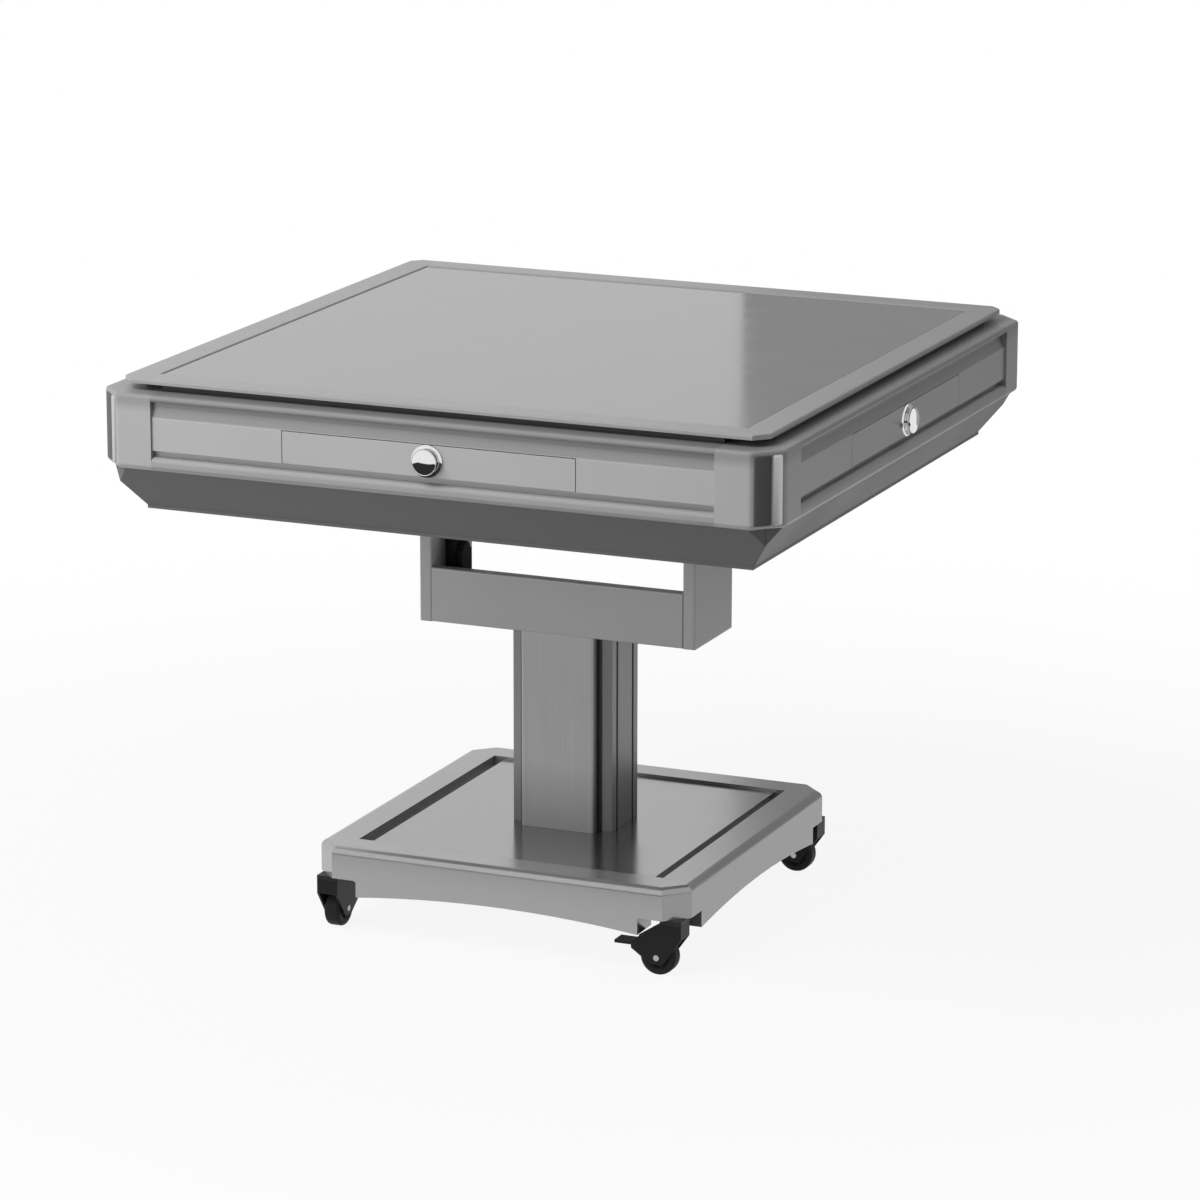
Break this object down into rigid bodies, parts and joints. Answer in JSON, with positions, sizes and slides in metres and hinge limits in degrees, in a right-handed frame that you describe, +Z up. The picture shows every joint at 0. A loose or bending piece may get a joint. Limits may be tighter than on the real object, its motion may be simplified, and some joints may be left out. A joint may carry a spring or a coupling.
{
  "type": "automatic game table",
  "caption": "Square automatic table for tile games: a machine body with drawers tilts on a yoke, a column and a base on casters",
  "frame": {"origin": "on the floor, under the middle of the table", "axes": "+Z up, +X to the right, -Y out of the front of the table; metres"},
  "size_m": [0.974, 0.974, 0.7835],
  "materials": {
    "silver_shell": "satin silver grey moulding",
    "silver_rim": "satin silver",
    "gloss_board": "glossy grey laminate",
    "play_surface": "matt dark green",
    "dark_skirt": "dark grey moulding",
    "floor_sheet": "dark coated sheet",
    "silver_frame": "satin silver grey",
    "grey_plate": "glossy silver grey paint",
    "dark_core": "dark paint",
    "chrome": "polished chrome",
    "steel": "plain steel",
    "black_plastic": "black moulding",
    "black_tread": "black tread",
    "black_rubber": "black rubber",
    "button_cap": "plain red cap"
  },
  "bodies": {
    "base": {"base_cross_rails": "silver_frame", "base_side_rails": "silver_frame", "base_plate": "grey_plate", "caster_sockets": "steel", "column_core": "dark_core", "column_face_panels": "silver_frame", "column_side_panels": "silver_frame", "yoke_floor_plate": "silver_frame", "yoke_front_plate": "silver_frame", "yoke_rear_plate": "silver_frame", "yoke_arms": "silver_frame", "rest_pads": "black_rubber", "lock_housing": "black_plastic"},
    "caster_front_left": {"caster_fork_front_left": "black_plastic", "caster_axle_front_left": "steel"},
    "wheel_front_left": {"caster_wheel_front_left": "black_tread"},
    "pedal_front_left": {"brake_pedal_front_left": "black_plastic"},
    "caster_front_right": {"caster_fork_front_right": "black_plastic", "caster_axle_front_right": "steel"},
    "wheel_front_right": {"caster_wheel_front_right": "black_tread"},
    "pedal_front_right": {"brake_pedal_front_right": "black_plastic"},
    "caster_rear_right": {"caster_fork_rear_right": "black_plastic", "caster_axle_rear_right": "steel"},
    "wheel_rear_right": {"caster_wheel_rear_right": "black_tread"},
    "caster_rear_left": {"caster_fork_rear_left": "black_plastic", "caster_axle_rear_left": "steel"},
    "wheel_rear_left": {"caster_wheel_rear_left": "black_tread"},
    "lock_lever": {"lock_lever": "black_plastic"},
    "lock_bolt": {"lock_bolt": "steel"},
    "machine": {"floor_plate": "floor_sheet", "skirt_panels": "dark_skirt", "fascia_front": "silver_shell", "fascia_right": "silver_shell", "fascia_rear": "silver_shell", "fascia_left": "silver_shell", "corner_blocks": "silver_shell", "rim_rails": "silver_rim", "play_board": "play_surface", "tilt_brackets": "steel", "pivot_pins": "steel", "power_panel": "black_plastic", "control_box": "dark_skirt", "centre_post": "dark_skirt", "lift_guides": "dark_skirt", "drive_motor": "steel"},
    "drawer_front": {"drawer_front": "silver_shell", "drawer_knob_front": "chrome"},
    "drawer_right": {"drawer_right": "silver_shell", "drawer_knob_right": "chrome"},
    "drawer_rear": {"drawer_rear": "silver_shell", "drawer_knob_rear": "chrome"},
    "drawer_left": {"drawer_left": "silver_shell", "drawer_knob_left": "chrome"},
    "cover": {"cover_board": "gloss_board"},
    "console": {"console": "black_plastic"},
    "start_button": {"start_button": "button_cap"},
    "tile_lifts": {"tile_lifts": "play_surface"},
    "turntable": {"turntable": "black_plastic"},
    "drive_roller": {"drive_roller": "black_rubber"},
    "rocker_switch": {"rocker_switch": "black_plastic"}
  },
  "joints": [
    {"name": "swivel_front_left", "type": "hinge", "parent": "base", "child": "caster_front_left", "pos_m": [-0.25, -0.25, 0.072], "axis": [0, 0, 1], "continuous": true},
    {"name": "roll_front_left", "type": "hinge", "parent": "caster_front_left", "child": "wheel_front_left", "pos_m": [-0.25, -0.23, 0.025], "axis": [1, 0, 0], "continuous": true},
    {"name": "brake_front_left", "type": "hinge", "parent": "caster_front_left", "child": "pedal_front_left", "pos_m": [-0.25, -0.202, 0.04], "axis": [1, 0, 0], "range_deg": [0, 12]},
    {"name": "swivel_front_right", "type": "hinge", "parent": "base", "child": "caster_front_right", "pos_m": [0.25, -0.25, 0.072], "axis": [0, 0, 1], "continuous": true},
    {"name": "roll_front_right", "type": "hinge", "parent": "caster_front_right", "child": "wheel_front_right", "pos_m": [0.23, -0.25, 0.025], "axis": [0, 1, 0], "continuous": true},
    {"name": "brake_front_right", "type": "hinge", "parent": "caster_front_right", "child": "pedal_front_right", "pos_m": [0.202, -0.25, 0.04], "axis": [0, 1, 0], "range_deg": [0, 12]},
    {"name": "swivel_rear_right", "type": "hinge", "parent": "base", "child": "caster_rear_right", "pos_m": [0.25, 0.25, 0.072], "axis": [0, 0, 1], "continuous": true},
    {"name": "roll_rear_right", "type": "hinge", "parent": "caster_rear_right", "child": "wheel_rear_right", "pos_m": [0.23, 0.25, 0.025], "axis": [0, 1, 0], "continuous": true},
    {"name": "swivel_rear_left", "type": "hinge", "parent": "base", "child": "caster_rear_left", "pos_m": [-0.25, 0.25, 0.072], "axis": [0, 0, 1], "continuous": true},
    {"name": "roll_rear_left", "type": "hinge", "parent": "caster_rear_left", "child": "wheel_rear_left", "pos_m": [-0.25, 0.23, 0.025], "axis": [1, 0, 0], "continuous": true},
    {"name": "lock_lever_turn", "type": "hinge", "parent": "base", "child": "lock_lever", "pos_m": [-0.166, 0, 0.48], "axis": [-1, 0, 0], "range_deg": [0, 60]},
    {"name": "lock_bolt_slide", "type": "slide", "parent": "base", "child": "lock_bolt", "axis": [0, 0, 1], "range_m": [0, 0.012]},
    {"name": "machine_tilt", "type": "hinge", "parent": "base", "child": "machine", "pos_m": [0, 0.05, 0.578], "axis": [1, 0, 0], "range_deg": [-90, 0]},
    {"name": "drawer_front_slide", "type": "slide", "parent": "machine", "child": "drawer_front", "axis": [0, -1, 0], "range_m": [0, 0.045]},
    {"name": "drawer_right_slide", "type": "slide", "parent": "machine", "child": "drawer_right", "axis": [1, 0, 0], "range_m": [0, 0.045]},
    {"name": "drawer_rear_slide", "type": "slide", "parent": "machine", "child": "drawer_rear", "axis": [0, 1, 0], "range_m": [0, 0.045]},
    {"name": "drawer_left_slide", "type": "slide", "parent": "machine", "child": "drawer_left", "axis": [-1, 0, 0], "range_m": [0, 0.045]},
    {"name": "cover_lift", "type": "slide", "parent": "machine", "child": "cover", "axis": [0, 0, 1], "range_m": [0, 0.3]},
    {"name": "console_lift", "type": "slide", "parent": "machine", "child": "console", "axis": [0, 0, 1], "range_m": [0, 0.02]},
    {"name": "start_press", "type": "slide", "parent": "console", "child": "start_button", "axis": [0, 0, -1], "range_m": [0, 0.0025], "stiffness_N_per_m": 300},
    {"name": "tile_lift", "type": "slide", "parent": "machine", "child": "tile_lifts", "axis": [0, 0, 1], "range_m": [-0.055, 0]},
    {"name": "turntable_spin", "type": "hinge", "parent": "machine", "child": "turntable", "pos_m": [0, 0, 0.65], "axis": [0, 0, 1], "continuous": true},
    {"name": "roller_spin", "type": "hinge", "parent": "machine", "child": "drive_roller", "pos_m": [0.22649, 0.22649, 0.655], "axis": [0, 0, 1], "continuous": true},
    {"name": "rocker_tip", "type": "hinge", "parent": "machine", "child": "rocker_switch", "pos_m": [0.309, 0.32, 0.5985], "axis": [0, 1, 0], "range_deg": [-7, 7]}
  ],
  "couplings": [
    {"joint": "lock_bolt_slide", "follows": "lock_lever_turn", "m_per_rad": 0.011459},
    {"joint": "roller_spin", "follows": "turntable_spin", "ratio": -15}
  ]
}
